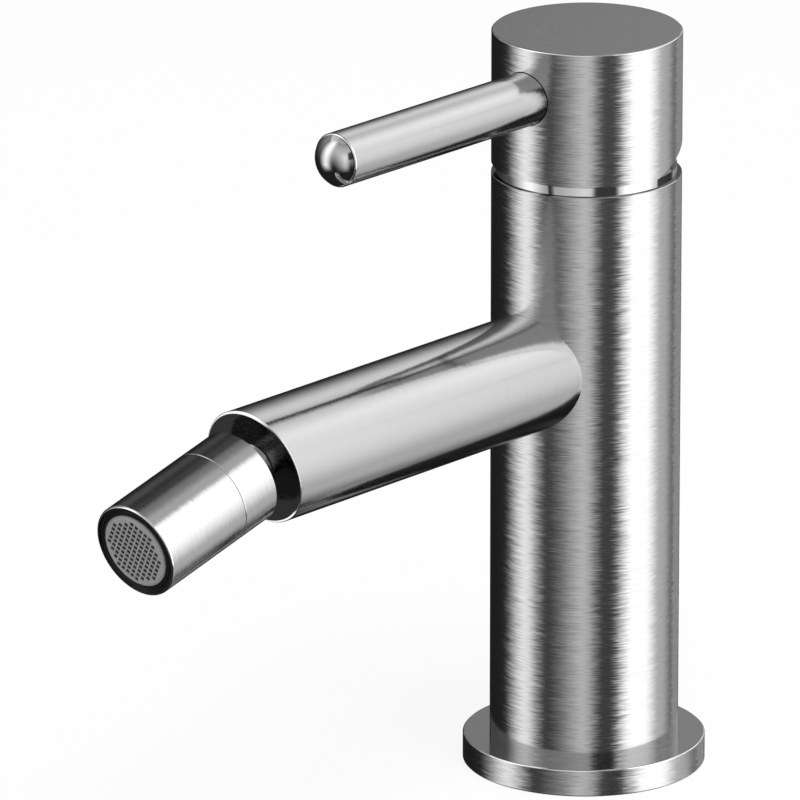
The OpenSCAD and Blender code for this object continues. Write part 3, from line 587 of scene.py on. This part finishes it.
turning = nut_blank.modifiers.new("chamfered", "BOOLEAN")
turning.operation, turning.solver, turning.object = "INTERSECT", "EXACT", nut_turning
bm = bmesh.new()
bm.from_object(nut_blank, bpy.context.evaluated_depsgraph_get())
for part in (nut_blank, nut_turning):
    bpy.data.objects.remove(part)
nut_steel = brushed("nut_steel", BOLT_STEEL, 0.3, 1.0, through=(*STUD_MIDDLE, 0), bar=False)
make_piece("hexagon_nut", bm, nut_steel, "mixer_body", ["fixing_nut"])

finish(rubber("horseshoe_black_rubber", 0.03, 0.65), "horseshoe_rubber")

ZINC_FLAKES = 420.0  # per metre
ZINC_TINT = (1, 1, 0.98)
material, b = new_finish("galvanised_plate")
flakes = b.add("ShaderNodeTexVoronoi")
b.put(flakes.inputs["Vector"], b.place())
flakes.inputs["Scale"].default_value = ZINC_FLAKES
flake, _, _ = b.parts(flakes.outputs["Color"])
zinc = b.add("ShaderNodeBsdfPrincipled")
zinc.inputs["Metallic"].default_value = 1.0
b.put(zinc.inputs["Base Color"], b.colour(b.spread(flake, 0.0, 1.0, 0.48, 0.6), ZINC_TINT))
b.put(zinc.inputs["Roughness"], b.spread(flake, 0.0, 1.0, 0.3, 0.42))
b.close(zinc)
finish(material, "horseshoe_plate")


# Cartridge: a stack of moulded plastic pieces round two ground ceramic discs,
# sealed with rubber rings. A brass stem on a steel pin drives the upper disc.
JOINT_MIDDLE = (0, -0.1088, 0.0950)
MOULD_GRAIN = 0.0006
MOULD_CLOUDS = 90.0  # per metre
MOULD_RELIEF, MOULD_DEPTH = 0.3, 0.00003
MOULD_CLOUDINESS, MOULD_GLOSS_CHANGE = 0.04, 0.05
# Painted shade: deep in the grid's holes the walls are drawn at this share of their tone.
HOLE_WALL_PAINTED_SHADE = 0.3


def moulded(name, tone, roughness, tint=(1, 1, 1), shine=0.5, holes=None):
    """Injection moulded plastic: an even colour, with the mould's fine grain.

    holes gives how far along the nozzle the painted shade on the walls of
    its holes fades out.
    """
    material, b = new_finish(name)
    at = b.place()
    grain = b.noise(at, 1 / MOULD_GRAIN, 3.0)
    cloud = b.noise(at, MOULD_CLOUDS, 2.0)
    skin = b.add("ShaderNodeBsdfPrincipled")
    shade = b.spread(
        cloud, *NOISE_SPAN, tone * (1 - MOULD_CLOUDINESS), tone * (1 + MOULD_CLOUDINESS)
    )
    # Painted shade: the walls of the holes are drawn darker the deeper they lie.
    if holes:
        out = b.vector("DOT_PRODUCT", b.vector("SUBTRACT", at, JOINT_MIDDLE), NOZZLE_AXIS)
        shade = b.math("MULTIPLY", shade, b.spread(out, *holes, HOLE_WALL_PAINTED_SHADE, 1.0))
    b.put(skin.inputs["Base Color"], b.colour(shade, tint))
    dull, shiny = roughness + MOULD_GLOSS_CHANGE, roughness - MOULD_GLOSS_CHANGE
    b.put(skin.inputs["Roughness"], b.spread(grain, *NOISE_SPAN, shiny, dull))
    skin.inputs["Specular IOR Level"].default_value = shine
    b.put(skin.inputs["Normal"], b.bumps(grain, MOULD_RELIEF, MOULD_DEPTH))
    b.close(skin)
    return material


IVORY, CREAM, CHALK = (1, 1, 0.96), (1, 1, 0.93), (1, 1, 0.97)
finish(moulded("cartridge_plastic", 0.8, 0.4, IVORY), "cartridge_base", "cartridge_housing")
finish(moulded("guide_plastic", 0.74, 0.35, CREAM), "swivel_turret", "disc_carrier")
finish(rubber("seal_rubber", 0.03, 0.5), "port_seals", "disc_seals")

LAPPING_MARKS, FIRING_CLOUDS = 3000.0, 250.0  # per metre
material, b = new_finish("lapped_ceramic")
at = b.place()
lapping = b.noise(at, LAPPING_MARKS, 2.0)
fired = b.noise(at, FIRING_CLOUDS, 2.0)
ceramic = b.add("ShaderNodeBsdfPrincipled")
b.put(ceramic.inputs["Base Color"], b.colour(b.spread(fired, *NOISE_SPAN, 0.84, 0.88), CHALK))
b.put(ceramic.inputs["Roughness"], b.spread(lapping, *NOISE_SPAN, 0.12, 0.22))
b.close(ceramic)
finish(material, "fixed_disc", "moving_disc")

BRASS, BRASS_TINT = 0.72, (1, 0.8, 0.45)
PIN_AXIS, PIN_Z = (1, 0, 0), 0.1302
pin_steel = brushed("pin_steel", BOLT_STEEL, 0.2, 0.8, axis=PIN_AXIS, through=(0, 0, PIN_Z))
finish(pin_steel, "stem_pin")
finish(brushed("stem_brass", BRASS, 0.25, 0.8, tint=BRASS_TINT, bar=False), "cartridge_stem")
finish(brushed("nut_brass", BRASS, 0.25, 1.2, tint=BRASS_TINT), "cartridge_nut")


# Cover ring: a polished steel ring on the cartridge nut. It closes the gap
# between body and cap, where it shows as a narrow mirror band.
RING_LEAN = 18.0
# The ring's sloped top face is drawn at a quarter of the steel's tone: painted shade for the gap
# under the cap's raised back.
RING_FACE_FROM, RING_SLOPE_PAINTED_SHADE = 0.5, 0.25
ring_steel = brushed(
    "ring_polished_steel", STEEL, 0.05, 0.3,
    face_from=RING_FACE_FROM, face_tone=RING_SLOPE_PAINTED_SHADE, lean=RING_LEAN,
)
finish(ring_steel, "cover_ring")


# Handle: a hollow steel cap, brushed round its side, on the cartridge's stem.
# A grub screw clamps it. The pin lever is screwed into its front and closed
# with a polished round end.
CAP_BEVEL, CAP_TOP_TONE = 0.0003, 1.05
cap_steel = brushed(
    "cap_brushed_steel", STEEL, SATIN, TURNED_WANDER, TURNED_HAZE,
    edge=(BODY_RADIUS, CAP_BEVEL), face_tone=CAP_TOP_TONE,
)
finish(cap_steel, "handle_cap")

LEVER_AXIS_Z = 0.1575
LEVER_RADIUS, LEVER_BEVEL = 0.006, 0.0004


def along_lever(name, tone, roughness, wander, haze=0.5, **more):
    middle = (0, 0, LEVER_AXIS_Z)
    return brushed(name, tone, roughness, wander, haze, axis=(0, 1, 0), through=middle, **more)


lever_edge = (LEVER_RADIUS, LEVER_BEVEL)
finish(along_lever("screw_steel", 0.4, 0.3, 1.0), "handle_grub_screw")
finish(along_lever("lever_brushed_steel", STEEL, 0.14, 0.8, 2.0, edge=lever_edge), "lever_rod")
finish(along_lever("tip_polished_steel", STEEL, 0.07, 0.4, bar=False), "lever_tip")


# Ball joint: a polished ball on a hollow neck turns between a steel ring,
# flush with the spout's end face, and a plastic ring with a seal behind it.
def along_nozzle(name, tone, roughness, wander, haze=0.5, **more):
    return brushed(
        name, tone, roughness, wander, haze, axis=NOZZLE_AXIS, through=JOINT_MIDDLE, **more
    )


# The ball's steel is drawn at less than half the bare tone: painted shade for the gap behind the
# nozzle's collar, where it sits.
SHADED_STEEL, BALL_PAINTED_SHADE_TONE = 0.42, 0.22
finish(along_nozzle("socket_polished_steel", SHADED_STEEL, 0.12, 1.0), "socket_ring")
finish(along_nozzle("ball_steel_painted_shade", BALL_PAINTED_SHADE_TONE, 0.2, 0.4, bar=False), "swivel_ball")
finish(moulded("slip_plastic", 0.8, 0.25, CHALK), "ball_slip_ring")
finish(rubber("ring_rubber", 0.02, 0.45), "ball_seal", "nozzle_o_ring")


# Nozzle: a steel collar and a steel sleeve, turned together and brushed round
# their axis, with a fine seam where they meet.
NOZZLE_RADIUS, COLLAR_BEVEL, SLEEVE_BEVEL = 0.0108, 0.0003, 0.00045
NOZZLE_WANDER, NOZZLE_HAZE = 0.9, 3.0
for part, bevel in (("collar", COLLAR_BEVEL), ("sleeve", SLEEVE_BEVEL)):
    nozzle_steel = along_nozzle(
        part + "_brushed_steel", STEEL, SATIN, NOZZLE_WANDER, NOZZLE_HAZE,
        edge=(NOZZLE_RADIUS, bevel),
    )
    finish(nozzle_steel, "nozzle_" + part)


# Aerator: a black plastic insert in the nozzle's mouth. It holds a flow plate,
# two woven wire screens and a light grey grid that the water leaves through.
GRID_GREY = 0.285
# Between the grid's back and front the painted shade on its hole walls fades out.
GRID_BACK, GRID_FRONT = 0.0384, 0.0390  # from the ball's centre, along the nozzle
finish(rubber("aerator_rubber", 0.02, 0.5), "aerator_gasket")
finish(moulded("housing_black_plastic", 0.006, 0.4, shine=0.2), "aerator_housing")
finish(moulded("flow_plate_plastic", 0.75, 0.35, CHALK), "flow_plate")
# The screens are drawn very dark: painted shade seen through the grid's holes.
finish(brushed("screen_steel_painted_shade", 0.1, 0.35, 0.8, bar=False), "mixing_screens")
finish(moulded("grid_grey_plastic", GRID_GREY, 0.4, holes=(GRID_BACK, GRID_FRONT)), "spray_grid")
